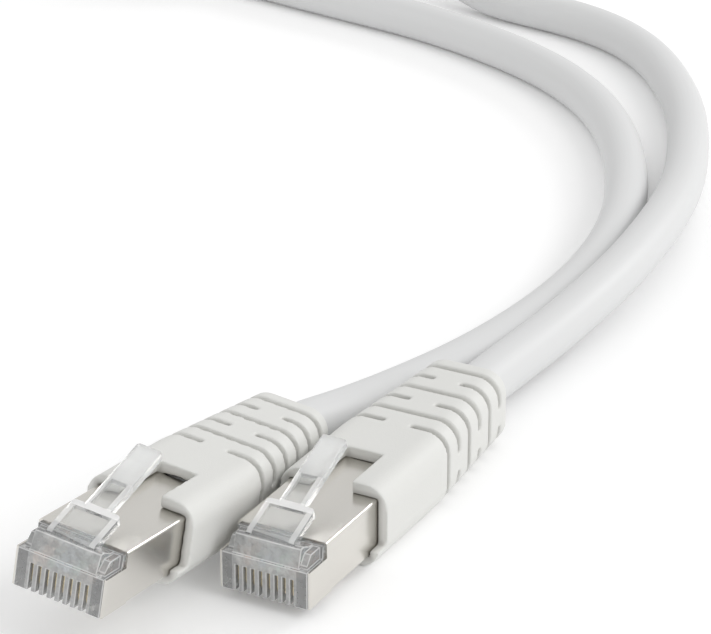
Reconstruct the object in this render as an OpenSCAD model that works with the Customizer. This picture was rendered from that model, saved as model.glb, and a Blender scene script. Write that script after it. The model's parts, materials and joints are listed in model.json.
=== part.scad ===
// Patch cable: two shielded 8P8C plugs with slotted moulded boots on one round cable.
// Millimetres. Z is up and the surface it lies on is z = 0. The plugs lie side by side
// with their noses toward -Y, and the cable leaves toward +Y, loops back over itself
// and keeps its spare length in a tied coil.
// Plug coordinates: x across the contacts, y back from the nose, z up from its underside.

/* [Plug] */
// Width of the plug over its metal shield
plug_w = 11.68; // [9.7:0.02:14.1]
// Height of the plug over its shield, without the latch
plug_h = 6.65; // [5.5:0.05:8]
// Length of the clear housing
housing_l = 21.5; // [18:0.1:26]
// Distance between neighbouring contacts and their wires
pitch = 1.02; // [0.85:0.01:1.06]
// Thickness of the shield's sheet metal
shield_t = 0.25; // [0.2:0.05:0.3]
// Length of the nose that stands in front of the shield's shell
nose_l = 4.15; // [3.8:0.05:5]

/* [Latch] */
// Angle of the latch above the plug at rest
latch_rise = 21; // [17:1:25]
// Radius of the round root that the latch turns about
root_r = 0.8; // [0.65:0.01:0.96]
// Width of the latch's wide part
latch_w = 6.2; // [5.2:0.1:7.4]
// Width of the latch's lever
lever_w = 3.25; // [2.7:0.05:3.9]
// Length of the latch from its root to its tip
latch_l = 15.8; // [13:0.1:19]

/* [Boot] */
// Thickness of the boot beside the plug
boot_side = 1.36; // [1.1:0.02:1.7]
// Thickness of the boot above and below the plug
boot_cover = 1.525; // [1.25:0.025:1.85]
// Thickness of the boot beside the cable at its rear end
boot_tail = 2.3; // [1.9:0.1:2.8]
// Number of rows of flex slots
slot_rows = 6; // [4:1:8]
// Distance from one row of flex slots to the next
row_gap = 3.3; // [2.7:0.05:4]
// Width of a flex slot
slot_w = 0.9; // [0.7:0.05:1.1]
// Depth of a flex slot
slot_deep = 1.1; // [0.9:0.05:1.35]
// Width of the notch over the latch
notch_w = 5; // [4.2:0.1:6]

/* [Cable] */
// Diameter of the cable's jacket
cable_d = 6.5; // [5.4:0.1:7.8]
// Radius of the coil, to the middle of its turns
coil_r = 33; // [28:0.5:39]
// Thickness of the coil's tie
tie_t = 0.5; // [0.3:0.1:1]
// Width of the coil's tie
tie_w = 12; // [8:1:16]

/* [Hidden] */
$fn = 48;
sides = ["a", "b"];
pins = [1:8];

// Clearances
seat_gap = 0.03;    // plastic inside the shield
boot_gap = 0.05;    // shield and cable inside the boot
root_gap = 0.05;    // latch root in its seat
cheek_gap = 0.1;    // latch beside its cheeks
blade_gap = 0.05;   // contact in its slot, each side
wire_gap = 0.025;   // wire in the load bar
tine_gap = 0.02;    // contact tine in its wire
side_gap = 0.06;    // load bar in its cavity, each side

// Plug
half_w = plug_w / 2;
in_w = half_w - shield_t - seat_gap;
in_lo = shield_t + seat_gap;
in_hi = plug_h - shield_t - seat_gap;
mid_z = plug_h / 2 + 0.025;
flange_h = plug_h - 1.95;
panel_y = 0.15;
shell_r = 0.35;
shell_end = housing_l + 2.5;
blade_t = 0.35;
wire_z = plug_h - 2.75;
wire_r = (pitch - 0.07) / 2;
blade_z = wire_z - 0.7;
cavity_y = 9;
cavity_w = in_w - 0.8;
bar_y = 9.1;
bar_l = 3;
jacket_y = shell_end + 0.6;
jacket_r = cable_d / 2;
screen_t = 0.2;
crimp_r = jacket_r + screen_t + seat_gap;
crimp_y = shell_end + 0.8;
crimp_l = 4;
crimp_end = crimp_y + crimp_l;
tongue_w = 3.4;

// Latch
root_y = 2.1;
root_z = plug_h + 0.1;
latch_wide_l = 4.9;
latch_lo = -0.2;
latch_hi = 0.8;
recess_deep = 0.5;

// Boot
boot_w = plug_w + 2 * boot_side;
boot_h = max(plug_h + 2 * boot_cover, cable_d + 2 * (slot_deep + 0.45));
arm_y = shell_end - 7.9;
lip_y = arm_y - 2;
lip_z = 0.8;
notch_end = shell_end - 0.1;
taper_y = crimp_end + 1.2;
boot_r = 2.9;
boot_lo = mid_z - boot_h / 2;
boot_hi = mid_z + boot_h / 2;
row_y = crimp_end + 3.4;
boot_end = row_y + (slot_rows - 1) * row_gap + 2.8;
tail_w = cable_d + 2 * boot_tail;
function boot_half(y) =
    boot_w / 2 - max(0, y - taper_y) / (boot_end - taper_y) * (boot_w - tail_w) / 2;

// Where the plugs lie: b flat on its boot, a nose up and rolled, on one rear edge of its boot
side_b = boot_w / 2;
side_a = 0.2 - boot_w / 2;
back_b = -15.5;
back_a = -36.1;
pitch_a = -6.5;
roll_a = 6.5;
rise_b = -boot_lo;
rise_a = boot_end * sin(-pitch_a) * cos(roll_a)
    + (tail_w / 2 - boot_r) * sin(roll_a)
    - (boot_lo + boot_r) * cos(pitch_a) * cos(roll_a)
    + boot_r;
function about_x(p, a) = [p.x, p.y * cos(a) - p.z * sin(a), p.y * sin(a) + p.z * cos(a)];
function about_y(p, a) = [p.x * cos(a) + p.z * sin(a), p.y, p.z * cos(a) - p.x * sin(a)];
function turned_a(p) = about_y(about_x(p, pitch_a), roll_a);
function tail_of(s) = s == "a"
    ? [side_a, back_a, rise_a] + turned_a([0, boot_end, mid_z])
    : [side_b, back_b + boot_end, rise_b + mid_z];
function axis_of(s) = s == "a" ? turned_a([0, 1, 0]) : [0, 1, 0];

// Route of the cable behind each boot: x, y, and the height above lying on the surface
route_a = [
    [-6, 25, 0.5], [-2.7, 36, 0], [0.5, 47.5, 0], [2.5, 60, 0], [3.2, 73, 0],
    [2.3, 86.5, 0], [-0.3, 99.5, 0], [-5, 113, 0], [-11.3, 126, 0], [-19.5, 138.5, 0],
    [-29.5, 149, 0], [-41, 157, 0], [-54, 163, 0], [-67.5, 167.3, 0], [-81.5, 170, 0],
    [-93.4, 172, 0], [-103.3, 173.6, 0.1],
];
route_b = [
    [7.5, 44, 1.7], [8.4, 55, 2], [9.1, 67, 2.6], [9.1, 79, 3], [8, 91, 3],
    [5.7, 104, 2.3], [2.2, 117, 1], [-2.9, 131.5, 0], [-9.3, 146, 0], [-17.3, 159.2, 0],
    [-27.2, 171, 0], [-38.8, 178.9, 0], [-52.3, 182.7, 0], [-64.2, 185.1, 0.4],
    [-73.5, 189.8, 2.2], [-81.7, 198.9, 5.3],
];
coil_x = -119.5;
coil_y = 209.1;
coil_turns = 2;
tie_at = 205;
tube_sides = 12;

// Extrudes an outline of [y, z] points across the plug
module across(w) {
    rotate([90, 0, 90]) linear_extrude(w, center = true) children();
}

// Extrudes an outline of [x, z] points from one place along the plug to another
module along(y0, y1) {
    translate([0, y1, 0]) rotate([90, 0, 0]) linear_extrude(y1 - y0) children();
}

// Outline with four equal round corners, half width by two heights
module round_rect(hw, lo, hi, r) {
    translate([r - hw, lo]) square([2 * (hw - r), hi - lo]);
    translate([-hw, lo + r]) square([2 * hw, hi - lo - 2 * r]);
    for (x = [r - hw, hw - r], z = [lo + r, hi - r])
        translate([x, z]) circle(r);
}

module box(x, y0, y1, z0, z1) {
    translate([-x, y0, z0]) cube([2 * x, y1 - y0, z1 - z0]);
}

// Round bar along the plug's length
module rod(r, y0, y1, z) {
    translate([0, y1, z]) rotate([90, 0, 0]) cylinder(r = r, h = y1 - y0);
}

function unit(v) = v / norm(v);

function heading(p, i, first) =
    i == 0 ? first : unit(p[min(i + 1, len(p) - 1)] - p[i - 1]);

function ring_at(c, t, r, m) =
    let (u = unit(cross(t, [0, 0, 1])), v = cross(u, t))
    [for (k = [0:m - 1]) c + r * (u * cos(k * 360 / m) + v * sin(k * 360 / m))];

// Round section of m sides swept along points, its first face square to one direction
module sweep(p, first, r, m) {
    n = len(p);
    rings = [for (i = [0:n - 1]) each ring_at(p[i], heading(p, i, first), r, m)];
    walls = [for (i = [0:n - 2], k = [0:m - 1], h = [0, 1])
        let (a = i * m + k, b = i * m + (k + 1) % m)
        h == 0 ? [a, b, b + m] : [a, b + m, a + m]];
    ends = [[for (k = [m - 1:-1:0]) k], [for (k = [0:m - 1]) (n - 1) * m + k]];
    polyhedron(rings, concat(walls, ends));
}

module place(s) {
    if (s == "a")
        translate([side_a, back_a, rise_a]) rotate([pitch_a, roll_a, 0]) children();
    else
        translate([side_b, back_b, rise_b]) children();
}

function pin_x(i) = (i - 4.5) * pitch;

// ---- Plug pieces ----

// Clear housing: nose with a bevelled panel, contact slots, wire duct and rear cavity
module housing() {
    color("lightgray") difference() {
        union() {
            along(nose_l - 0.5, housing_l) round_rect(in_w, in_lo, in_hi, 0.1);
            box(in_w, 0, nose_l, 0, flange_h);
            across(2 * in_w - 0.8) polygon([
                [0.8, 1], [0.8, in_hi - 1.3], [1.7, in_hi - 0.2], [nose_l, in_hi - 0.2],
                [nose_l, 1],
            ]);
            across(latch_w + 2.4) polygon([
                [0, 1], [0, plug_h - 3.25], [root_y - root_r - 0.3, plug_h + 0.25],
                [root_y - 0.5, plug_h + 0.35], [root_y + root_r, plug_h - 0.25],
                [nose_l - 0.55, in_hi - 0.02], [nose_l, in_hi - 0.02], [nose_l, 1],
            ]);
        }
        // Seat of the latch root
        translate([0, root_y, root_z]) rotate([0, 90, 0])
            cylinder(r = root_r + root_gap, h = latch_w + 2 * cheek_gap, center = true);
        box(latch_w / 2 + cheek_gap, root_y, nose_l - 0.4, plug_h - 0.3, plug_h + 1);
        // Contact slots, open at the front and below
        for (i = pins)
            translate([pin_x(i), 0, 0])
                box(blade_t / 2 + blade_gap, -0.1, 3.1, -0.1, wire_z - 0.55);
        // Wire duct and rear cavity
        box(4.5 * pitch - 0.2, 0.85, cavity_y + 0.1, wire_z - 0.55, wire_z + 0.55);
        box(cavity_w, cavity_y, housing_l + 0.1, in_lo + 0.7, in_hi - 0.7);
    }
}

// Latch: round root, wide ribbed plate, cross bar and a lever with a pocket
module latch() {
    color("white") translate([0, root_y, root_z]) rotate([latch_rise, 0, 0]) {
        rotate([0, 90, 0]) cylinder(r = root_r, h = latch_w, center = true);
        difference() {
            translate([0, 0, latch_lo]) linear_extrude(latch_hi - latch_lo) {
                translate([-latch_w / 2, 0]) square([latch_w, latch_wide_l - 0.5]);
                translate([0.5 - latch_w / 2, 0]) square([latch_w - 1, latch_wide_l]);
                for (x = [0.5 - latch_w / 2, latch_w / 2 - 0.5])
                    translate([x, latch_wide_l - 0.5]) circle(0.5);
                translate([-lever_w / 2, 1]) square([lever_w, latch_l - 1.4]);
                translate([0.4 - lever_w / 2, 1]) square([lever_w - 0.8, latch_l - 1]);
                for (x = [0.4 - lever_w / 2, lever_w / 2 - 0.4])
                    translate([x, latch_l - 0.4]) circle(0.4);
            }
            box(latch_w / 2 - 0.7, 0.9, latch_wide_l - 0.8, latch_hi - recess_deep, 2);
            box(lever_w / 2 - 0.57, latch_wide_l + 0.2, latch_l * 0.6,
                latch_hi - recess_deep, 2);
        }
    }
}

// Shield: folded shell with two front cheeks, a tongue below and the crimped band
module shield() {
    color("silver") difference() {
        union() {
            along(nose_l, shell_end) round_rect(half_w, 0, plug_h, shell_r);
            for (s = [-1, 1])
                translate([s * (half_w - shield_t / 2), 0, 0])
                    box(shield_t / 2, panel_y, nose_l + 1, 0, flange_h);
            box(tongue_w / 2, shell_end - 0.3, crimp_y + 0.3,
                mid_z - crimp_r - shield_t, shield_t);
            rod(crimp_r + shield_t, crimp_y, crimp_end, mid_z);
        }
        along(nose_l - 1, shell_end + 0.1)
            round_rect(half_w - shield_t, shield_t, plug_h - shield_t, 0.1);
        rod(crimp_r, shell_end, crimp_end + 0.1, mid_z);
    }
}

// Load bar that keeps the eight wires in order
module load_bar() {
    color("gainsboro") difference() {
        box(cavity_w - side_gap, bar_y, bar_y + bar_l, wire_z - 1, wire_z + 1);
        for (i = pins)
            translate([pin_x(i), 0, 0])
                rod(wire_r + wire_gap, bar_y - 0.1, bar_y + bar_l + 0.1, wire_z);
    }
}

// Contact: thin blade with a round front corner and two tines that pierce its wire
module contact(i) {
    color("gold") translate([pin_x(i), 0, 0]) {
        across(blade_t) {
            translate([0.55, 1.4]) square([2.45, blade_z - 1.4]);
            translate([1.35, 0.6]) square([1.65, 1.2]);
            translate([1.35, 1.4]) circle(0.8);
        }
        tines(0);
    }
}

module tines(gap) {
    for (y = [1.2, 2.2])
        box(blade_t / 2 + gap, y - gap, y + 0.4 + gap, blade_z - 0.2, wire_z + 0.25 + gap);
}

// One wire: along the duct, fanned into two rows behind the bar, then into the jacket
module wire(i) {
    top = i % 2 == 1 ? 1 : -1;
    spot = 22.5 + 45 * floor((i - 1) / 2);
    color(["white", "orange", "white", "blue", "white", "green", "white", "brown"][i - 1])
    difference() {
        sweep([
            [pin_x(i), 0.95, wire_z],
            [pin_x(i), bar_y + bar_l + 0.3, wire_z],
            [pin_x(i), bar_y + bar_l + 3.1, wire_z + top],
            [-1.8 * cos(spot), shell_end - 1.5, mid_z + top * 1.8 * sin(spot)],
            [-1.8 * cos(spot), jacket_y, mid_z + top * 1.8 * sin(spot)],
        ], [0, 1, 0], wire_r, 10);
        translate([pin_x(i), 0, 0]) tines(tine_gap);
    }
}

// Screen folded back over the jacket, under the crimped band
module screen() {
    color("darkgray") difference() {
        rod(jacket_r + screen_t, jacket_y + 0.2, crimp_end + 2, mid_z);
        rod(jacket_r, jacket_y, crimp_end + 3, mid_z);
    }
}

// End of the cable, from inside the shield to the rear of the boot
module cable_end() {
    color("lightgray") rod(jacket_r, jacket_y, boot_end, mid_z);
}

// Outside of the boot: straight in front, then a taper, with only a lip below in front
module boot_body() {
    difference() {
        hull() {
            along(lip_y, taper_y)
                round_rect(boot_w / 2, boot_lo, boot_hi, boot_r, $fn = 32);
            along(boot_end - 0.8, boot_end - 0.7)
                round_rect(boot_half(boot_end - 0.7), boot_lo, boot_hi, boot_r, $fn = 32);
            along(boot_end - 0.1, boot_end)
                round_rect(tail_w / 2 - 0.5, boot_lo + 0.5, boot_hi - 0.5, boot_r - 0.5,
                    $fn = 32);
        }
        box(boot_w, lip_y - 1, arm_y, lip_z, boot_hi + 1);
    }
}

// One row of flex slots; odd rows have bridges above and below, even rows at the sides
module slot_row(n) {
    y = row_y + (n - 1) * row_gap;
    hw = boot_half(y) - slot_deep;
    difference() {
        box(boot_w, y - slot_w / 2, y + slot_w / 2, boot_lo - 1, boot_hi + 1);
        along(y - slot_w, y + slot_w)
            round_rect(hw, boot_lo + slot_deep, boot_hi - slot_deep, boot_r - slot_deep);
        if (n % 2 == 1)
            box(1.7, y - slot_w, y + slot_w, boot_lo - 2, boot_hi + 2);
        else
            box(boot_w + 1, y - slot_w, y + slot_w, mid_z - 1.65, mid_z + 0.85);
    }
}

// Boot: moulded strain relief with arms over the shield, a top notch and flex slots
module boot() {
    color("gainsboro") difference() {
        boot_body();
        // Pocket for the shield, then for the tongue and the crimped band
        along(lip_y - 1, shell_end + 0.1)
            round_rect(half_w + boot_gap, -boot_gap, plug_h + boot_gap, shell_r);
        box(tongue_w / 2 + boot_gap, shell_end - 0.4, crimp_y + 0.4,
            mid_z - crimp_r - shield_t - boot_gap, 1);
        rod(crimp_r + shield_t + boot_gap, shell_end, crimp_end + 0.3, mid_z);
        rod(jacket_r + screen_t + boot_gap, shell_end, crimp_end + 2.3, mid_z);
        rod(jacket_r + boot_gap, shell_end, boot_end + 1, mid_z);
        // Notch over the latch
        box(notch_w / 2, arm_y - 1, notch_end, plug_h - 0.2, boot_hi + 1);
        for (n = [1:slot_rows])
            slot_row(n);
    }
}

// ---- Cable ----

function cord_points(s, route) =
    concat([tail_of(s)], [for (p = route) [p.x, p.y, p.z + jacket_r]]);

// Tube swept along a route, its first face square to the plug
module tube(s, route) {
    color("lightgray") sweep(cord_points(s, route), axis_of(s), jacket_r, tube_sides);
}

// Outline of the coil's turns, one on another
module turns(extra = 0) {
    r = jacket_r + extra;
    lo = tie_t + jacket_r;
    hi = lo + (coil_turns - 1) * cable_d;
    translate([coil_r - r, lo]) square([2 * r, hi - lo]);
    for (z = [lo, hi])
        translate([coil_r, z]) circle(r);
}

module cable_coil() {
    color("lightgray") translate([coil_x, coil_y, 0]) rotate_extrude() turns();
}

// Strap round the coil's turns
module coil_tie() {
    color("dimgray") translate([coil_x, coil_y, 0]) rotate([0, 0, tie_at]) difference() {
        rotate_extrude(angle = tie_w / coil_r * 180 / PI) turns(tie_t);
        rotate([0, 0, -5]) rotate_extrude(angle = 40) turns();
    }
}

for (s = sides) {
    place(s) housing();
    place(s) latch();
    place(s) shield();
    place(s) load_bar();
    place(s) boot();
    place(s) screen();
    place(s) cable_end();
    for (i = pins) {
        place(s) contact(i);
        place(s) wire(i);
    }
}
tube("a", route_a);  // cable_run_a
tube("b", route_b);  // cable_run_b
cable_coil();
coil_tie();
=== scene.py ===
import math
import json
import bpy
import bmesh
import numpy as np
from mathutils import Vector, Matrix, Euler

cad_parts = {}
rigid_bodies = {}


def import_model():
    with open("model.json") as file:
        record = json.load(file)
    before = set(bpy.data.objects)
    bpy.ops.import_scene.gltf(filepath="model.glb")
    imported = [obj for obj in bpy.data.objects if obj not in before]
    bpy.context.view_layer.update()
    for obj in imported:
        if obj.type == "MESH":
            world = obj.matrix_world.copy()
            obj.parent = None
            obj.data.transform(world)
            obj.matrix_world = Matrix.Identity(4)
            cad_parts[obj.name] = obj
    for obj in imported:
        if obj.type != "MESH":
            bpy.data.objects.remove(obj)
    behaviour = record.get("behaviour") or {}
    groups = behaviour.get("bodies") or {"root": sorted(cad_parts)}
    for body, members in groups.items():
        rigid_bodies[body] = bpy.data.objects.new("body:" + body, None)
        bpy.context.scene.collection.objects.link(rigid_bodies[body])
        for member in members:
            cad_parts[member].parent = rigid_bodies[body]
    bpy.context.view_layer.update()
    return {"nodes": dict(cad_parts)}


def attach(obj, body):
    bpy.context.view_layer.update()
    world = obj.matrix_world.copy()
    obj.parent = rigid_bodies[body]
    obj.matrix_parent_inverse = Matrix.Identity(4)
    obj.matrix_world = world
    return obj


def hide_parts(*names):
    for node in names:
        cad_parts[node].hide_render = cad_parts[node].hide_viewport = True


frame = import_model()
nodes = frame["nodes"]
scene = bpy.context.scene
sides = ("a", "b")
pins = range(1, 9)
print("frame loaded:", len(nodes), "nodes")

view = {
    "place": (0.15606, -0.26696, 0.16961),
    "target": (-0.0221, 0.0598, 0.0),
    "lens": 150,          # millimetres, on a sensor this wide
    "sensor": 36,
    "near": 0.01,
    "far": 20,
}


def makeCamera():
    data = bpy.data.cameras.new("camera")
    data.lens = view["lens"]
    data.sensor_width = view["sensor"]
    data.clip_start = view["near"]
    data.clip_end = view["far"]
    cam = bpy.data.objects.new("camera", data)
    scene.collection.objects.link(cam)
    cam.location = view["place"]
    aim = Vector(view["target"]) - Vector(view["place"])
    cam.rotation_euler = aim.to_track_quat("-Z", "Y").to_euler()
    scene.camera = cam


makeCamera()
print("camera placed")


def addPiece(name, mesh):
    obj = bpy.data.objects.new(name, mesh)
    scene.collection.objects.link(obj)
    return obj


def meshFrom(name, verts, faces, smooth=True):
    mesh = bpy.data.meshes.new(name)
    mesh.from_pydata([tuple(v) for v in verts], [], faces)
    mesh.update()
    if smooth:
        mesh.shade_smooth()
    return mesh


def bakeModifiers(obj):
    # the evaluated result replaces the mesh, and no modifier is left
    graph = bpy.context.evaluated_depsgraph_get()
    graph.update()
    mesh = bpy.data.meshes.new_from_object(obj.evaluated_get(graph), depsgraph=graph)
    obj.modifiers.clear()
    obj.data = mesh
    mesh.name = obj.name
    return obj


cable = {
    "radius": 0.00325,
    "around": 40,         # sides of the tube
    "step": 0.0022,       # between its rings
    # x, y and how far the cable is lifted off the surface
    "routeA": (
        (-0.006, 0.025, 0.0005), (-0.0027, 0.036, 0), (0.0005, 0.0475, 0), (0.0025, 0.06, 0),
        (0.0032, 0.073, 0), (0.0023, 0.0865, 0), (-0.0003, 0.0995, 0), (-0.005, 0.113, 0),
        (-0.0113, 0.126, 0), (-0.0195, 0.1385, 0), (-0.0295, 0.149, 0), (-0.041, 0.157, 0),
        (-0.054, 0.163, 0), (-0.0675, 0.1673, 0), (-0.0815, 0.17, 0), (-0.0934, 0.172, 0),
        (-0.1086, 0.1745, 0.00015),
    ),
    "routeB": (
        (0.0075, 0.044, 0.0017), (0.0084, 0.055, 0.002), (0.0091, 0.067, 0.0026),
        (0.0091, 0.079, 0.003), (0.008, 0.091, 0.003), (0.0057, 0.104, 0.0023),
        (0.0022, 0.117, 0.001), (-0.0029, 0.1315, 0), (-0.0093, 0.146, 0),
        (-0.0173, 0.1592, 0), (-0.0272, 0.171, 0), (-0.0388, 0.1789, 0),
        (-0.0523, 0.1827, 0), (-0.0642, 0.1851, 0.0004), (-0.0735, 0.1898, 0.0022),
        (-0.081, 0.1975, 0.005), (-0.0852, 0.2067, 0.0068),
    ),
    "coilCentre": (-0.1195, 0.2091),
    "coilRadius": 0.033,
    "coilLift": 0.0005,
    "coilStart": 247,     # direction from the centre where the cable joins, degrees
    "coilTurned": 593,    # how far it winds from there, degrees
    "coilPoints": 41,
    "climbFrom": 256,     # the first turn rises onto itself between these angles
    "climbTo": 340,
}
plugPose = {
    "a": {"nose": (-0.007, -0.0361, 0.0076104), "turn": (-6.5, 6.5, 0)},
    "b": {"nose": (0.0072, -0.0155, 0.0015), "turn": (0, 0, 0)},
}
tailPoint = (0, 0.0515, 0.00335)    # where the cable leaves its boot, in the plug's own frame


def plugMatrix(side):
    pose = plugPose[side]
    turn = Euler([math.radians(a) for a in pose["turn"]], "XYZ").to_matrix().to_4x4()
    return Matrix.Translation(pose["nose"]) @ turn


def splineThrough(points, first, last, step):
    # clamped cubic spline by chord length, sampled evenly
    p = np.array(points, float)
    gaps = np.linalg.norm(np.diff(p, axis=0), axis=1)
    at = np.concatenate([[0], np.cumsum(gaps)])
    n = len(p)
    a = np.zeros((n, n))
    b = np.zeros((n, 3))
    a[0, 0] = a[-1, -1] = 1
    b[0], b[-1] = first, last
    for i in range(1, n - 1):
        h0, h1 = gaps[i - 1], gaps[i]
        a[i, i - 1], a[i, i], a[i, i + 1] = h1, 2 * (h0 + h1), h0
        b[i] = 3 * ((p[i] - p[i - 1]) * h1 / h0 + (p[i + 1] - p[i]) * h0 / h1)
    slopes = np.linalg.solve(a, b)
    count = int(at[-1] / step)
    out = []
    for s in np.linspace(0, at[-1], count + 1):
        i = min(int(np.searchsorted(at, s, side="right")) - 1, n - 2)
        h = gaps[i]
        t = (s - at[i]) / h
        out.append((2 * t**3 - 3 * t**2 + 1) * p[i] + (t**3 - 2 * t**2 + t) * h * slopes[i]
                   + (3 * t**2 - 2 * t**3) * p[i + 1] + (t**3 - t**2) * h * slopes[i + 1])
    return np.array(out)


def coilPoints():
    cx, cy = cable["coilCentre"]
    r = cable["coilRadius"]
    low = cable["coilLift"] + cable["radius"]
    out = []
    for turned in np.linspace(0, cable["coilTurned"], cable["coilPoints"]):
        t = (turned - cable["climbFrom"]) / (cable["climbTo"] - cable["climbFrom"])
        t = min(max(t, 0), 1)
        z = low + 2 * cable["radius"] * (3 * t * t - 2 * t**3)
        a = math.radians(cable["coilStart"] - turned)
        out.append((cx + r * math.cos(a), cy + r * math.sin(a), z))
    return out


def cablePath():
    lift = cable["radius"]
    ends, ways = {}, {}
    for side in sides:
        m = plugMatrix(side)
        ends[side] = m @ Vector(tailPoint)
        ways[side] = m.to_3x3() @ Vector((0, 1, 0))
    outA = [(x, y, z + lift) for x, y, z in cable["routeA"]]
    outB = [(x, y, z + lift) for x, y, z in cable["routeB"]]
    points = [tuple(ends["a"])] + outA + coilPoints() + outB[::-1] + [tuple(ends["b"])]
    path = splineThrough(points, ways["a"], -ways["b"], cable["step"])
    return path, ends


def sweepRound(name, path, radius, around):
    # tube with its own UV map: u round the section in metres, v along it in metres
    n = len(path)
    ways = np.gradient(path, axis=0)
    ways /= np.linalg.norm(ways, axis=1)[:, None]
    verts, faces, uvs = [], [], []
    side = np.cross(ways[0], (0, 0, 1))
    for i in range(n):
        side = side - ways[i] * np.dot(side, ways[i])
        side /= np.linalg.norm(side)
        up = np.cross(side, ways[i])
        for k in range(around):
            a = 2 * math.pi * k / around
            verts.append(path[i] + radius * (math.cos(a) * side + math.sin(a) * up))
    length = np.concatenate([[0], np.cumsum(np.linalg.norm(np.diff(path, axis=0), axis=1))])
    girth = 2 * math.pi * radius
    for i in range(n - 1):
        for k in range(around):
            k2 = (k + 1) % around
            faces.append((i * around + k, (i + 1) * around + k, (i + 1) * around + k2, i * around + k2))
            u0, u1 = girth * k / around, girth * (k + 1) / around
            uvs += [(u0, length[i]), (u0, length[i + 1]), (u1, length[i + 1]), (u1, length[i])]
    faces.append(tuple(range(around)))
    faces.append(tuple((n - 1) * around + k for k in reversed(range(around))))
    uvs += [(0, 0)] * (2 * around)
    mesh = meshFrom(name, verts, faces)
    layer = mesh.uv_layers.new(name="along")
    layer.data.foreach_set("uv", np.array(uvs, dtype=np.float32).ravel())
    mesh.polygons[len(faces) - 1].use_smooth = False
    mesh.polygons[len(faces) - 2].use_smooth = False
    return mesh, float(length[-1])


path, tails = cablePath()
cableMesh, cableLength = sweepRound("cable", path, cable["radius"], cable["around"])
cablePiece = addPiece("cable", cableMesh)
print("cable length", round(cableLength, 4))


def nodeGroup(name, inputs, outputs):
    group = bpy.data.node_groups.new(name, "ShaderNodeTree")
    for label, kind, value in inputs:
        s = group.interface.new_socket(name=label, in_out="INPUT", socket_type=kind)
        if value is not None:
            s.default_value = value
    for label, kind in outputs:
        group.interface.new_socket(name=label, in_out="OUTPUT", socket_type=kind)
    return group, group.nodes.new("NodeGroupInput"), group.nodes.new("NodeGroupOutput")


def mathNode(tree, kind, a, b=None):
    n = tree.nodes.new("ShaderNodeMath")
    n.operation = kind
    for i, v in enumerate((a, b)):
        if v is None:
            continue
        if isinstance(v, (int, float)):
            n.inputs[i].default_value = v
        else:
            tree.links.new(v, n.inputs[i])
    return n.outputs[0]


def makeMottle():
    # soft tone patches and fine grain, both about zero
    g, gin, gout = nodeGroup(
        "mottle",
        [("Vector", "NodeSocketVector", None), ("Patch Scale", "NodeSocketFloat", 200.0),
         ("Grain Scale", "NodeSocketFloat", 4000.0)],
        [("Patches", "NodeSocketFloat"), ("Grain", "NodeSocketFloat")])
    for label, out, detail in (("Patch Scale", "Patches", 4), ("Grain Scale", "Grain", 2)):
        noise = g.nodes.new("ShaderNodeTexNoise")
        noise.inputs["Detail"].default_value = detail
        g.links.new(gin.outputs["Vector"], noise.inputs["Vector"])
        g.links.new(gin.outputs[label], noise.inputs["Scale"])
        g.links.new(mathNode(g, "SUBTRACT", noise.outputs["Fac"], 0.5), gout.inputs[out])
    return g


mottle = makeMottle()


def newMaterial(name, colour):
    mat = bpy.data.materials.new(name)
    mat.use_nodes = True
    tree = mat.node_tree
    shader = tree.nodes["Principled BSDF"]
    shader.inputs["Base Color"].default_value = (*colour, 1)
    mat.diffuse_color = (*colour, 1)
    return mat, tree, shader


def placeMottle(tree, patchScale, grainScale, vector=None):
    g = tree.nodes.new("ShaderNodeGroup")
    g.node_tree = mottle
    g.inputs["Patch Scale"].default_value = patchScale
    g.inputs["Grain Scale"].default_value = grainScale
    if vector is None:
        vector = tree.nodes.new("ShaderNodeTexCoord").outputs["Object"]
    tree.links.new(vector, g.inputs["Vector"])
    return g


mixSocket = {"factor": 0, "first": 6, "second": 7, "result": 2}    # of a Mix node set to colours


def tintBy(tree, shader, colour, value, amount, gain=1.0):
    # colour moved lighter and darker by a value about zero
    mix = tree.nodes.new("ShaderNodeMix")
    mix.data_type = "RGBA"
    dark = tuple(max(0, c * (1 - amount)) for c in colour)
    light = tuple(min(1, c * (1 + amount)) for c in colour)
    mix.inputs[mixSocket["first"]].default_value = (*dark, 1)
    mix.inputs[mixSocket["second"]].default_value = (*light, 1)
    if gain != 1:
        value = mathNode(tree, "MULTIPLY", value, gain)
    tree.links.new(mathNode(tree, "ADD", value, 0.5), mix.inputs[mixSocket["factor"]])
    tree.links.new(mix.outputs[mixSocket["result"]], shader.inputs["Base Color"])


def bumpBy(tree, shader, height, distance):
    bump = tree.nodes.new("ShaderNodeBump")
    bump.inputs["Distance"].default_value = distance
    tree.links.new(height, bump.inputs["Height"])
    tree.links.new(bump.outputs["Normal"], shader.inputs["Normal"])


def roughBy(tree, shader, base, value, amount):
    r = mathNode(tree, "MULTIPLY", value, amount)
    tree.links.new(mathNode(tree, "ADD", r, base), shader.inputs["Roughness"])


def makePlastic(name, colour, rough, patch=180, grain=3500, tint=0.03, bump=0.00002, vary=0.2):
    mat, tree, shader = newMaterial(name, colour)
    g = placeMottle(tree, patch, grain)
    tintBy(tree, shader, colour, g.outputs["Patches"], tint)
    roughBy(tree, shader, rough, g.outputs["Patches"], vary)
    bumpBy(tree, shader, g.outputs["Grain"], bump)
    return mat


bootFinish = {
    "colour": (0.74, 0.74, 0.715),
    "hollow": (0.3, 0.29, 0.27),    # painted shade colour, reached in fully shaded hollows and along the metal
    "patches": 120,
    "grain": 5000,
    "tint": 0.02,
    "rough": 0.55,
    "vary": 0.2,
    "bump": 0.00002,
}


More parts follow.
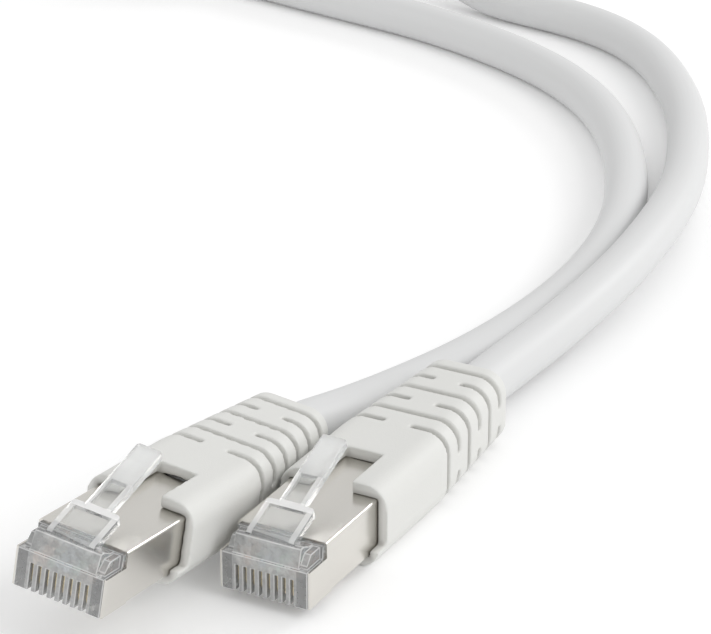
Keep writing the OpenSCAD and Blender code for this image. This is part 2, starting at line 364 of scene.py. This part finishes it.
def makeBootGrey():
    # soft moulding with a fine matte grain, with painted shade where the shade attribute says
    f = bootFinish
    mat, tree, shader = newMaterial("bootGrey", f["colour"])
    g = placeMottle(tree, f["patches"], f["grain"])
    tintBy(tree, shader, f["colour"], g.outputs["Patches"], f["tint"])
    plain = shader.inputs["Base Color"].links[0].from_socket
    # painted shade: the colour is mixed toward the hollow colour by the shade attribute
    layer = tree.nodes.new("ShaderNodeAttribute")
    layer.attribute_name = "shade"
    mix = tree.nodes.new("ShaderNodeMix")
    mix.data_type = "RGBA"
    mix.inputs[mixSocket["second"]].default_value = (*f["hollow"], 1)
    tree.links.new(layer.outputs["Fac"], mix.inputs[mixSocket["factor"]])
    tree.links.new(plain, mix.inputs[mixSocket["first"]])
    tree.links.new(mix.outputs[mixSocket["result"]], shader.inputs["Base Color"])
    roughBy(tree, shader, f["rough"], g.outputs["Patches"], f["vary"])
    bumpBy(tree, shader, g.outputs["Grain"], f["bump"])
    return mat


jacketFinish = {
    "colour": (0.725, 0.728, 0.728),
    "drawn": 0.04,        # the pattern's scale along the cable, against one across it
    "patches": 900,
    "grain": 2600,
    "tint": 0.02,
    "rough": 0.5,
    "vary": 0.25,
    "bump": 0.00001,
}


def makeJacket():
    f = jacketFinish
    mat, tree, shader = newMaterial("jacketGrey", f["colour"])
    uv = tree.nodes.new("ShaderNodeUVMap")
    uv.uv_map = "along"
    stretch = tree.nodes.new("ShaderNodeMapping")
    stretch.inputs["Scale"].default_value = (1, f["drawn"], 1)
    tree.links.new(uv.outputs["UV"], stretch.inputs["Vector"])
    g = placeMottle(tree, f["patches"], f["grain"], stretch.outputs["Vector"])
    tintBy(tree, shader, f["colour"], g.outputs["Patches"], f["tint"])
    roughBy(tree, shader, f["rough"], g.outputs["Patches"], f["vary"])
    bumpBy(tree, shader, g.outputs["Grain"], f["bump"])
    return mat


metalFinish = {
    "drawn": 0.08,        # the sheet is rolled along the plug
    "patches": 150,
    "grain": 6000,
    "tint": 0.08,
    "vary": 0.18,
    "bump": 0.000004,
}


def makeMetal(name, colour, rough):
    f = metalFinish
    mat, tree, shader = newMaterial(name, colour)
    shader.inputs["Metallic"].default_value = 1
    coord = tree.nodes.new("ShaderNodeTexCoord")
    stretch = tree.nodes.new("ShaderNodeMapping")
    stretch.inputs["Scale"].default_value = (1, f["drawn"], 1)
    tree.links.new(coord.outputs["Object"], stretch.inputs["Vector"])
    g = placeMottle(tree, f["patches"], f["grain"], stretch.outputs["Vector"])
    tintBy(tree, shader, colour, g.outputs["Patches"], f["tint"])
    roughBy(tree, shader, rough, g.outputs["Patches"], f["vary"])
    bumpBy(tree, shader, g.outputs["Grain"], f["bump"])
    return mat


clearFinish = {
    "grain": 1.6,         # grain scale against the patches' own
    "cloudGain": 3,
    "vary": 0.06,
}


def makeClear(name, colour, rough, through, ior, cloud=0.1, ripple=0.00001, scale=700):
    mat, tree, shader = newMaterial(name, colour)
    shader.inputs["Transmission Weight"].default_value = through
    shader.inputs["IOR"].default_value = ior
    g = placeMottle(tree, scale, clearFinish["grain"] * scale)
    tintBy(tree, shader, colour, g.outputs["Patches"], cloud, clearFinish["cloudGain"])
    roughBy(tree, shader, rough, g.outputs["Patches"], clearFinish["vary"])
    bumpBy(tree, shader, g.outputs["Grain"], ripple)
    return mat


wireFinish = {
    "white": (0.85, 0.84, 0.8),
    "orange": (0.74, 0.52, 0.41),
    "green": (0.43, 0.6, 0.51),
    "blue": (0.45, 0.56, 0.65),
    "brown": (0.3, 0.21, 0.16),
    "patches": 400,
    "grain": 5000,
    "tint": 0.08,
    "rough": 0.35,
    "vary": 0.15,
    "bump": 0.00001,
    "barScale": 130,
    "barWander": 0.6,
    "barFade": (0.45, 0.55),
}
wireOrder = ("orange", "orange", "green", "blue", "blue", "green", "brown", "brown")
striped = (1, 3, 5, 7)    # these are white with bars of the pair's colour


def makeWire(name, colour, stripe=None):
    f = wireFinish
    mat, tree, shader = newMaterial(name, colour)
    g = placeMottle(tree, f["patches"], f["grain"])
    roughBy(tree, shader, f["rough"], g.outputs["Patches"], f["vary"])
    bumpBy(tree, shader, g.outputs["Grain"], f["bump"])
    if stripe is None:
        tintBy(tree, shader, colour, g.outputs["Patches"], f["tint"])
        return mat
    # short bars of the partner's colour along the white insulation
    coord = tree.nodes.new("ShaderNodeTexCoord")
    wave = tree.nodes.new("ShaderNodeTexWave")
    wave.wave_type = "BANDS"
    wave.bands_direction = "Y"
    wave.inputs["Scale"].default_value = f["barScale"]
    wave.inputs["Distortion"].default_value = f["barWander"]
    tree.links.new(coord.outputs["Object"], wave.inputs["Vector"])
    ramp = tree.nodes.new("ShaderNodeValToRGB")
    for stop, place, shade in zip(ramp.color_ramp.elements, f["barFade"], (colour, stripe)):
        stop.position = place
        stop.color = (*shade, 1)
    tree.links.new(wave.outputs["Fac"], ramp.inputs["Fac"])
    tree.links.new(ramp.outputs["Color"], shader.inputs["Base Color"])
    return mat


edges = {
    "mergeWithin": 1e-7,
    "cutWithin": 1e-6,
    "bevelFrom": 30,      # degrees between two faces
    "smoothUpTo": 35,
    "slot": 1,            # the second material, a whiter plastic on the rounded edges: partly frosted, partly a painted highlight
}


def copyOf(node, name, flat=1.0):
    # merged copy of a moulded part, with its flat faces in one piece each
    mesh = nodes[node].data.copy()
    work = bmesh.new()
    work.from_mesh(mesh)
    bmesh.ops.remove_doubles(work, verts=work.verts, dist=edges["mergeWithin"])
    if flat:
        bmesh.ops.dissolve_limit(work, angle_limit=math.radians(flat), verts=work.verts,
                                 edges=work.edges)
    work.to_mesh(mesh)
    work.free()
    return addPiece(name, mesh)


def cutFaces(obj, place, cuts):
    # adds edges where the finish changes
    work = bmesh.new()
    work.from_mesh(obj.data)
    for at, way in cuts:
        bmesh.ops.bisect_plane(work, geom=work.verts[:] + work.edges[:] + work.faces[:],
                               dist=edges["cutWithin"], plane_co=place @ Vector(at),
                               plane_no=place.to_3x3() @ Vector(way))
    work.to_mesh(obj.data)
    work.free()


def softenEdges(obj, width, segments, shortest=0.0):
    # rounded edges catch the light, and take a whiter material of their own that paints a highlight
    # along them
    work = bmesh.new()
    work.from_mesh(obj.data)
    sharp = [e for e in work.edges if len(e.link_faces) == 2 and e.calc_length() > shortest
             and e.calc_face_angle() > math.radians(edges["bevelFrom"])]
    bmesh.ops.bevel(work, geom=sharp, offset=width, offset_type="OFFSET", segments=segments,
                    profile=0.5, affect="EDGES", clamp_overlap=shortest == 0, material=edges["slot"])
    work.to_mesh(obj.data)
    work.free()
    obj.data.shade_smooth()
    obj.data.set_sharp_from_angle(angle=math.radians(edges["smoothUpTo"]))


jacketGrey = makeJacket()
endGrey = makePlastic("jacketEnd", jacketFinish["colour"], jacketFinish["rough"])
bootGrey = makeBootGrey()
nickel = makeMetal("nickel", (0.72, 0.7, 0.66), 0.24)
clearPlastic = makeClear("clearPlastic", (0.96, 0.97, 0.965), 0.05, 0.73, 1.45, 0.1, 0.00016, 600)
# whiter plastic on the housing's rounded edges: painted highlight
clearEdge = makeClear("clearEdge", (0.99, 0.99, 0.99), 0.08, 0.42, 1.45, 0.02)
# milkier, lighter copies of the clear plastic for the nose's forward faces: partly a hazy finish,
# partly painted reflection
noseMistAndSheen = makeClear("noseMistAndSheen", (0.96, 0.98, 0.97), 0.05, 0.57, 1.45, 0.16, 0.0006, 800)
slotRibs = makeClear("slotRibs", (0.97, 0.98, 0.97), 0.05, 0.55, 1.45, 0.16, 0.0005, 1100)
ductWall = makeClear("ductWall", (0.97, 0.98, 0.975), 0.02, 0.95, 1.04, 0.02)
# whiter plastic for the latch's ribs and rounded edges: partly frosted, partly a painted highlight
latchFrostAndGlint = makeClear("latchFrostAndGlint", (0.99, 0.99, 0.99), 0.05, 0.52, 1.45, 0.02)
# painted highlight: the whitest plastic, for the latch's shoulders
latchBarHighlight = makeClear("latchBarHighlight", (0.99, 0.99, 0.99), 0.05, 0.3, 1.45, 0.02)
latchTip = makeClear("latchTip", (0.97, 0.975, 0.975), 0.06, 0.62, 1.4, 0.02)
clearLatch = makeClear("clearLatch", (0.97, 0.98, 0.98), 0.03, 0.86, 1.4, 0.02)
barPlastic = makePlastic("barPlastic", (0.8, 0.82, 0.8), 0.35)
screenFoil = makeMetal("screenFoil", (0.75, 0.75, 0.76), 0.35)
contactGold = makeMetal("contactGold", (0.8, 0.7, 0.5), 0.25)
tieStrap = makePlastic("tieStrap", (0.36, 0.37, 0.38), 0.85, 900, 6000, 0.2, 0.00006)
wireMats = []
for i in pins:
    base = wireFinish[wireOrder[i - 1]]
    if i in striped:
        wireMats.append(makeWire("wire" + str(i), wireFinish["white"], base))
    else:
        wireMats.append(makeWire("wire" + str(i), base))
latchMats = (clearLatch, latchFrostAndGlint, latchTip, latchBarHighlight)
shellMats = (clearPlastic, clearEdge, ductWall, noseMistAndSheen, slotRibs)
print("materials built")


def paint(obj, *mats):
    # faces keep their slot numbers
    slots = obj.data.materials
    for i, mat in enumerate(mats):
        if i < len(slots):
            slots[i] = mat
        else:
            slots.append(mat)


paint(cablePiece, jacketGrey)
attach(cablePiece, "patch_cable")
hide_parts("cable_run_a", "cable_run_b", "cable_coil")

boot = {
    "voxel": 0.0002,
    "relax": 0.5,
    "smoothing": 2,
    "shieldHalf": 0.00584,    # the metal's sides, top and end, in the plug's own frame
    "shieldTop": 0.00665,
    "shieldEnd": 0.0245,
    # painted shade along the metal's edge: how far it reaches and how dark it gets
    "seamFade": 0.0008,
    "seamShade": 0.75,
    # painted shade in hollows: its blur and depth scale
    "hollowBlur": 3,
    "hollowGain": 26000,      # one over the depth below its neighbours that is fully hollow, in metres
}


def paintShade(obj, side):
    # painted shade, darker in hollows and along the metal: one value for each vertex
    mesh = obj.data
    count = len(mesh.vertices)
    at = np.empty(count * 3)
    mesh.vertices.foreach_get("co", at)
    at = at.reshape(-1, 3)
    up = np.empty(count * 3)
    mesh.vertices.foreach_get("normal", up)
    up = up.reshape(-1, 3)
    ends = np.empty(len(mesh.edges) * 2, dtype=int)
    mesh.edges.foreach_get("vertices", ends)
    a, b = ends.reshape(-1, 2).T
    near = np.maximum(np.bincount(a, minlength=count) + np.bincount(b, minlength=count), 1)

    def average(values):
        return (np.bincount(a, values[b], count) + np.bincount(b, values[a], count)) / near

    middle = np.column_stack([average(at[:, k]) for k in range(3)])
    hollow = np.clip(((middle - at) * up).sum(axis=1) * boot["hollowGain"], -1, 1)
    for _ in range(boot["hollowBlur"]):
        hollow = 0.5 * (hollow + average(hollow))
    back = np.array(plugMatrix(side).inverted())
    own = at @ back[:3, :3].T + back[:3, 3]
    beside = np.abs(own[:, 0]) - boot["shieldHalf"]
    above = np.maximum(own[:, 2] - boot["shieldTop"], -own[:, 2])
    gap = np.hypot(np.maximum(beside, 0), np.maximum(above, 0))
    seam = np.clip(1 - gap / boot["seamFade"], 0, 1) * (own[:, 1] < boot["shieldEnd"])
    shade = np.clip(np.maximum(hollow, 0) + boot["seamShade"] * seam, 0, 1)
    layer = mesh.attributes.new("shade", "FLOAT", "POINT")
    layer.data.foreach_set("value", shade.astype(np.float32))


def makeBoot(side):
    # a soft moulding has no sharp edge: it is resampled and its edges relaxed
    obj = copyOf("boot_" + side, "boot_" + side + "_soft", 0)
    remesh = obj.modifiers.new("resample", "REMESH")
    remesh.mode = "VOXEL"
    remesh.voxel_size = boot["voxel"]
    remesh.use_smooth_shade = True
    relax = obj.modifiers.new("relax", "SMOOTH")
    relax.factor = boot["relax"]
    relax.iterations = boot["smoothing"]
    bakeModifiers(obj)
    obj.data.shade_smooth()
    # painted shade stored on the boot's vertices
    paintShade(obj, side)
    paint(obj, bootGrey)
    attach(obj, "patch_cable")
    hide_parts("boot_" + side)
    print("boot", side, len(obj.data.polygons), "faces")


plastic = {
    "latchEdge": 0.00014,
    "latchEdgeSteps": 3,
    "latchRoot": (0, 0.0021, 0.00675),
    "latchRise": 21,          # degrees
    "ribs": 0.0024,           # latch ribs beside the plate start here, from the middle
    "leverRibs": 0.00106,
    "shoulders": (0.0041, 0.0052),
    "leverPocketEnd": 0.0095,
    "recessFloor": 0.0004,    # above this the latch's ribs take a whiter plastic, partly frosted and partly a painted highlight, and its shoulders a painted highlight
    "duct": ((-0.0046, 0.0008, 0.0033), (0.0046, 0.0092, 0.0045)),    # corners of the box round it
    "shellEdge": 0.0001,
    "shellEdgeSteps": 2,
    "shortEdge": 0.0004,      # shorter edges of the housing stay sharp
    "slotZone": 0.0042,       # the contact slots lie this near the middle
    "flangeTop": 0.0036,
    "panelDepth": 0.0017,     # the nose's sloping faces lie in front of this
    "upright": 0.7,           # cosines: a face counts as level, or as facing forward
    "forward": 0.5,
}


def makeClearParts(side):
    latch = copyOf("latch_" + side, "latch_" + side + "_clear")
    paint(latch, *latchMats)
    lie = (plugMatrix(side) @ Matrix.Translation(plastic["latchRoot"])
           @ Matrix.Rotation(math.radians(plastic["latchRise"]), 4, "X"))
    cuts = [((0, y, 0), (0, 1, 0)) for y in (*plastic["shoulders"], plastic["leverPocketEnd"])]
    cuts += [((x, 0, 0), (1, 0, 0)) for r in (plastic["ribs"], plastic["leverRibs"]) for x in (-r, r)]
    cutFaces(latch, lie, cuts)
    softenEdges(latch, plastic["latchEdge"], plastic["latchEdgeSteps"])
    seat = lie.inverted()
    front, back = plastic["shoulders"]
    for face in latch.data.polygons:
        x, y, z = seat @ face.center
        onRib = abs(x) > (plastic["ribs"] if y < front else plastic["leverRibs"])
        onTip = y > plastic["leverPocketEnd"]
        flat = abs((seat.to_3x3() @ face.normal).z) > plastic["upright"]
        if flat and z > plastic["recessFloor"]:
            # painted highlight: the shoulders' level faces take the whitest plastic
            if front < y < back:
                face.material_index = latchMats.index(latchBarHighlight)
            # the ribs take the whiter plastic, partly frosted and partly a painted highlight
            elif onRib:
                face.material_index = latchMats.index(latchFrostAndGlint)
        if not flat and onRib and y > front:
            face.material_index = latchMats.index(latchFrostAndGlint)
        if onTip:
            face.material_index = latchMats.index(latchTip)
    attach(latch, "latch_" + side)
    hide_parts("latch_" + side)
    shell = copyOf("housing_" + side, "housing_" + side + "_clear")
    paint(shell, *shellMats)
    softenEdges(shell, plastic["shellEdge"], plastic["shellEdgeSteps"], plastic["shortEdge"])
    zone = plastic["slotZone"]
    cutFaces(shell, plugMatrix(side), [((x, 0, 0), (1, 0, 0)) for x in (-zone, zone)])
    nose = plugMatrix(side).inverted()
    low, high = plastic["duct"]
    for face in shell.data.polygons:
        at = nose @ face.center
        forward = (nose.to_3x3() @ face.normal).y < -plastic["forward"] and face.material_index == 0
        # the wires press on the duct, so they show through its walls
        if all(a < c < b for a, c, b in zip(low, at, high)):
            face.material_index = shellMats.index(ductWall)
        # painted reflection: the nose's forward faces take the lighter, milkier plastic
        elif forward and at.z > plastic["flangeTop"] and at.y < plastic["panelDepth"]:
            face.material_index = shellMats.index(noseMistAndSheen)
        elif forward and at.z < plastic["flangeTop"] and abs(at.x) < zone:
            face.material_index = shellMats.index(slotRibs)
    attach(shell, "patch_cable")
    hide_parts("housing_" + side)
    print("clear parts", side, len(latch.data.polygons) + len(shell.data.polygons), "faces")


for side in sides:
    makeBoot(side)
    makeClearParts(side)
    paint(nodes["shield_" + side], nickel)
    paint(nodes["load_bar_" + side], barPlastic)
    paint(nodes["screen_" + side], screenFoil)
    paint(nodes["cable_end_" + side], endGrey)
    for i in pins:
        paint(nodes["contact_" + side + "_" + str(i)], contactGold)
        paint(nodes["wire_" + side + "_" + str(i)], wireMats[i - 1])

tie = {
    "Loop Width": 0.007,       # round both turns, measured at the middle of the strap
    "Loop Height": 0.0135,
    "Corner": 0.00349,
    "Strap Width": 0.0118,
    "Strap Thickness": 0.00036,
    "Ribs": 118,
    "Rib Radius": 0.0002,
    "Tail Length": 0.006,
    "Stitches": 9,
    "Stitch Length": 0.0008,
}
tieMake = {
    "angle": 215.4,           # degrees round the coil
    "height": 0.007,
    "cornerPoints": 12,
    "sectionCuts": 10,
    "ribSides": 6,
    "ribCuts": 10,
    "tailCuts": 12,
    "tailLift": 1.15,         # strap thicknesses from the loop to the middle of the free end
    "sewnWidth": 0.88,        # of the strap's width
    "stitchRows": (-0.38, -0.3),
    "stitchSize": 0.2,        # radius, of a stitch's length
}


class Tree:
    # short way to add and join the nodes of a geometry tree
    def __init__(self, name, inputs):
        self.tree = bpy.data.node_groups.new(name, "GeometryNodeTree")
        self.ids = {}
        for label, value in inputs.items():
            kind = "NodeSocketInt" if isinstance(value, int) else "NodeSocketFloat"
            s = self.tree.interface.new_socket(name=label, in_out="INPUT", socket_type=kind)
            s.default_value = value
            self.ids[label] = s.identifier
        self.tree.interface.new_socket(name="Geometry", in_out="OUTPUT",
                                       socket_type="NodeSocketGeometry")
        self.given = self.tree.nodes.new("NodeGroupInput").outputs

    def add(self, kind, settings=None, **values):
        n = self.tree.nodes.new(kind)
        for key, value in (settings or {}).items():
            setattr(n, key, value)
        for key, value in values.items():
            label = key.replace("_", " ")
            socket = next(i for i in n.inputs if i.name == label and i.enabled)
            self.put(value, socket)
        return n.outputs

    def put(self, value, socket):
        if isinstance(value, bpy.types.NodeSocket):
            self.tree.links.new(value, socket)
        else:
            socket.default_value = value

    def maths(self, kind, a, b):
        n = self.tree.nodes.new("ShaderNodeMath")
        n.operation = kind
        self.put(a, n.inputs[0])
        self.put(b, n.inputs[1])
        return n.outputs[0]

    def vector(self, x=0.0, y=0.0, z=0.0):
        return self.add("ShaderNodeCombineXYZ", X=x, Y=y, Z=z)[0]

    def finish(self, parts, mat):
        join = self.tree.nodes.new("GeometryNodeJoinGeometry")
        for part in parts:
            self.tree.links.new(part, join.inputs[0])
        real = self.add("GeometryNodeRealizeInstances", Geometry=join.outputs[0])[0]
        done = self.add("GeometryNodeSetMaterial", Geometry=real, Material=mat)[0]
        self.tree.links.new(done, self.tree.nodes.new("NodeGroupOutput").inputs[0])

    def bake(self, name, values):
        obj = addPiece(name, bpy.data.meshes.new(name))
        mod = obj.modifiers.new("made", "NODES")
        mod.node_group = self.tree
        for label, value in values.items():
            mod[self.ids[label]] = value
        return bakeModifiers(obj)


def makeTieTree():
    t = Tree("strapTie", tie)
    g = t.given
    loop = t.add("GeometryNodeCurvePrimitiveQuadrilateral", Width=g["Loop Width"],
                 Height=g["Loop Height"])[0]
    loop = t.add("GeometryNodeFilletCurve", {"mode": "POLY"}, Curve=loop, Radius=g["Corner"],
                 Count=tieMake["cornerPoints"])[0]
    loop = t.add("GeometryNodeResampleCurve", Curve=loop, Count=g["Ribs"])[0]
    section = t.add("GeometryNodeCurvePrimitiveQuadrilateral", Width=g["Strap Thickness"],
                    Height=g["Strap Width"])[0]
    section = t.add("GeometryNodeSubdivideCurve", Curve=section, Cuts=tieMake["sectionCuts"])[0]
    strap = t.add("GeometryNodeCurveToMesh", Curve=loop, Profile_Curve=section, Fill_Caps=True)[0]
    rib = t.add("GeometryNodeMeshCylinder", Vertices=tieMake["ribSides"],
                Side_Segments=tieMake["ribCuts"], Radius=g["Rib Radius"], Depth=g["Strap Width"])[0]
    ribs = t.add("GeometryNodeInstanceOnPoints", Points=loop, Instance=rib)[0]
    # the free end lies on the outer side and is sewn down in two rows
    outer = t.maths("MULTIPLY", g["Loop Width"], 0.5)
    outer = t.maths("ADD", outer, t.maths("MULTIPLY", g["Strap Thickness"], tieMake["tailLift"]))
    size = t.vector(g["Strap Thickness"], g["Tail Length"], g["Strap Width"])
    tail = t.add("GeometryNodeMeshCube", Size=size, Vertices_Z=tieMake["tailCuts"])[0]
    tail = t.add("GeometryNodeTransform", Geometry=tail, Translation=t.vector(outer))[0]
    stitch = t.add("GeometryNodeMeshCylinder", Vertices=tieMake["ribSides"], Radius=t.maths(
        "MULTIPLY", g["Stitch Length"], tieMake["stitchSize"]), Depth=g["Stitch Length"])[0]
    pace = t.maths("DIVIDE", t.maths("MULTIPLY", g["Strap Width"], tieMake["sewnWidth"]),
                   t.maths("SUBTRACT", g["Stitches"], 1.0))
    first = t.maths("MULTIPLY", g["Strap Width"], -tieMake["sewnWidth"] / 2)
    skin = t.maths("ADD", outer, t.maths("MULTIPLY", g["Strap Thickness"], 0.5))
    parts = [strap, ribs, tail]
    for row in tieMake["stitchRows"]:
        line = t.add("GeometryNodeMeshLine", Count=g["Stitches"], Start_Location=t.vector(
            skin, t.maths("MULTIPLY", g["Tail Length"], row), first), Offset=t.vector(z=pace))[0]
        parts.append(t.add("GeometryNodeInstanceOnPoints", Points=line, Instance=stitch)[0])
    t.finish(parts, tieStrap)
    return t


def makeTie():
    obj = makeTieTree().bake("coil_strap", tie)
    # the flat loop is bent round the ring of the coil
    cx, cy = cable["coilCentre"]
    middle = math.radians(tieMake["angle"])
    for v in obj.data.vertices:
        out, up, along = v.co
        a = middle - along / cable["coilRadius"]
        r = cable["coilRadius"] + out
        v.co = (cx + r * math.cos(a), cy + r * math.sin(a), tieMake["height"] + up)
    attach(obj, "patch_cable")
    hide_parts("coil_tie")
    print("tie", len(obj.data.polygons), "faces")
    return obj


strap = makeTie()

studio = {
    "floorColour": (0.96, 0.96, 0.96),
    "floorRough": 0.9,
    "floorShine": 0.1,
    "floorHalf": 4,
    "floorGlow": 0.11,    # whitens the floor to the camera, in mirrors and through glass
    "world": 0.77,
    "shine": 0.03,        # how much lighter the room looks in reflections
    "lampAim": (0, 0.05, 0),
    "key": {"place": (1.5, -0.2, 1.3), "size": 1.0, "power": 8.0},
    "rim": {"place": (0.57, 1.11, 0.62), "size": 0.4, "power": 3.2},
}


def makeFloor():
    h = studio["floorHalf"]
    mesh = meshFrom("floor", [(-h, -h, 0), (h, -h, 0), (h, h, 0), (-h, h, 0)], [(0, 1, 2, 3)], False)
    floor = addPiece("floor", mesh)
    mat, tree, shader = newMaterial("floorWhite", studio["floorColour"])
    shader.inputs["Roughness"].default_value = studio["floorRough"]
    shader.inputs["Specular IOR Level"].default_value = studio["floorShine"]
    light = tree.nodes.new("ShaderNodeLightPath")
    seen = mathNode(tree, "MAXIMUM", light.outputs["Is Camera Ray"], light.outputs["Is Glossy Ray"])
    seen = mathNode(tree, "MAXIMUM", seen, light.outputs["Is Transmission Ray"])
    glow = mathNode(tree, "MULTIPLY", seen, studio["floorGlow"])
    shader.inputs["Emission Color"].default_value = (1, 1, 1, 1)
    tree.links.new(glow, shader.inputs["Emission Strength"])
    paint(floor, mat)


def makeWorld():
    world = bpy.data.worlds.new("studio")
    scene.world = world
    world.use_nodes = True
    tree = world.node_tree
    back = tree.nodes["Background"]
    back.inputs["Color"].default_value = (1, 1, 1, 1)
    light = tree.nodes.new("ShaderNodeLightPath")
    seen = mathNode(tree, "MAXIMUM", light.outputs["Is Camera Ray"],
                    light.outputs["Is Transmission Ray"])
    extra = mathNode(tree, "MULTIPLY", seen, 1 - studio["world"])
    shine = mathNode(tree, "MULTIPLY", light.outputs["Is Glossy Ray"], studio["shine"])
    total = mathNode(tree, "ADD", mathNode(tree, "ADD", extra, shine), studio["world"])
    tree.links.new(total, back.inputs["Strength"])


def makeLamp(name):
    s = studio[name]
    data = bpy.data.lights.new(name, "AREA")
    data.shape = "DISK"
    data.size = s["size"]
    data.energy = s["power"]
    lamp = bpy.data.objects.new(name, data)
    scene.collection.objects.link(lamp)
    lamp.location = s["place"]
    aim = Vector(studio["lampAim"]) - Vector(s["place"])
    lamp.rotation_euler = aim.to_track_quat("-Z", "Y").to_euler()


makeFloor()
makeWorld()
makeLamp("key")
makeLamp("rim")
scene.view_settings.view_transform = "Standard"
print("studio built")
